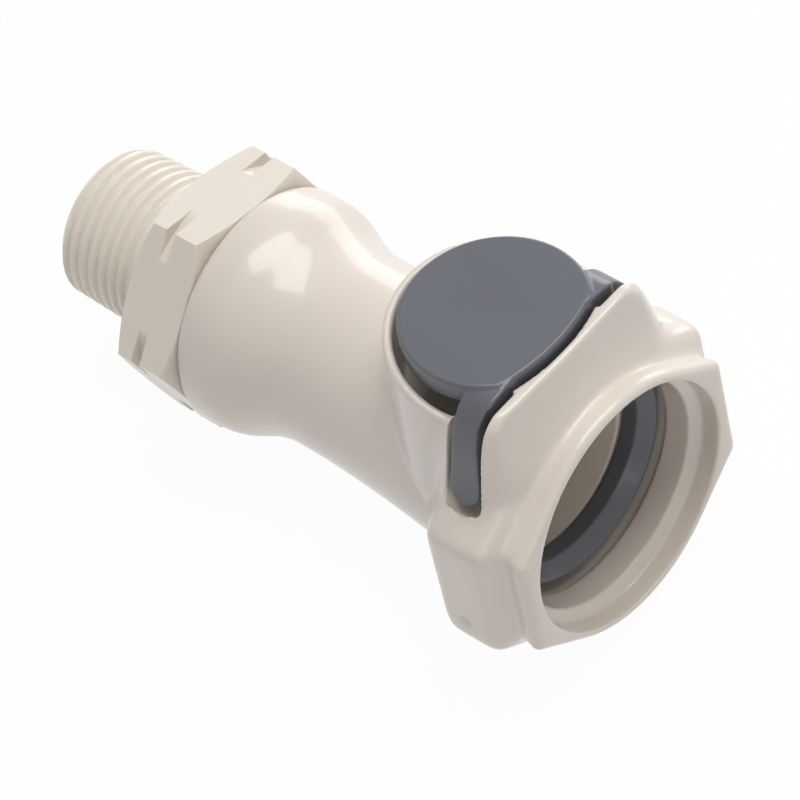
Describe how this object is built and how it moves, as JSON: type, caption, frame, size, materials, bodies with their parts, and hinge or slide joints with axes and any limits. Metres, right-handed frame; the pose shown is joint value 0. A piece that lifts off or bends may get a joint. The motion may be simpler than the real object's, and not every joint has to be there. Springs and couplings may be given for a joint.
{
  "type": "plastic quick disconnect coupling",
  "caption": "Plastic quick disconnect coupling body with thumb latch, shut-off valve, hexagon and tapered pipe thread end.",
  "frame": {"origin": "centre of the mouth face, on the flow bore's axis", "axes": "+X along the flow bore, out of the mouth; +Z towards the thumb button; Y across"},
  "size_m": [0.0705, 0.035, 0.0371],
  "materials": {
    "housing_plastic": "gloss moulded",
    "adapter_plastic": "gloss moulded",
    "latch_plastic": "satin moulded",
    "valve_plastic": "gloss moulded",
    "seal_rubber": "satin",
    "spring_steel": "drawn wire"
  },
  "bodies": {
    "body": {"housing": "housing_plastic", "threaded_adapter": "adapter_plastic", "valve_guide": "valve_plastic"},
    "latch_body": {"latch": "latch_plastic"},
    "valve_body": {"valve_poppet": "valve_plastic", "poppet_seal": "seal_rubber", "valve_spring": "spring_steel"}
  },
  "joints": [
    {"name": "latch_press", "type": "slide", "parent": "body", "child": "latch_body", "axis": [0, 0, -1], "range_m": [0, 0.0012], "stiffness_N_per_m": 6000, "springref_m": -0.001},
    {"name": "valve_open", "type": "slide", "parent": "body", "child": "valve_body", "axis": [-1, 0, 0], "range_m": [0, 0.004], "stiffness_N_per_m": 600, "springref_m": -0.004, "deforming": ["valve_spring"]}
  ]
}
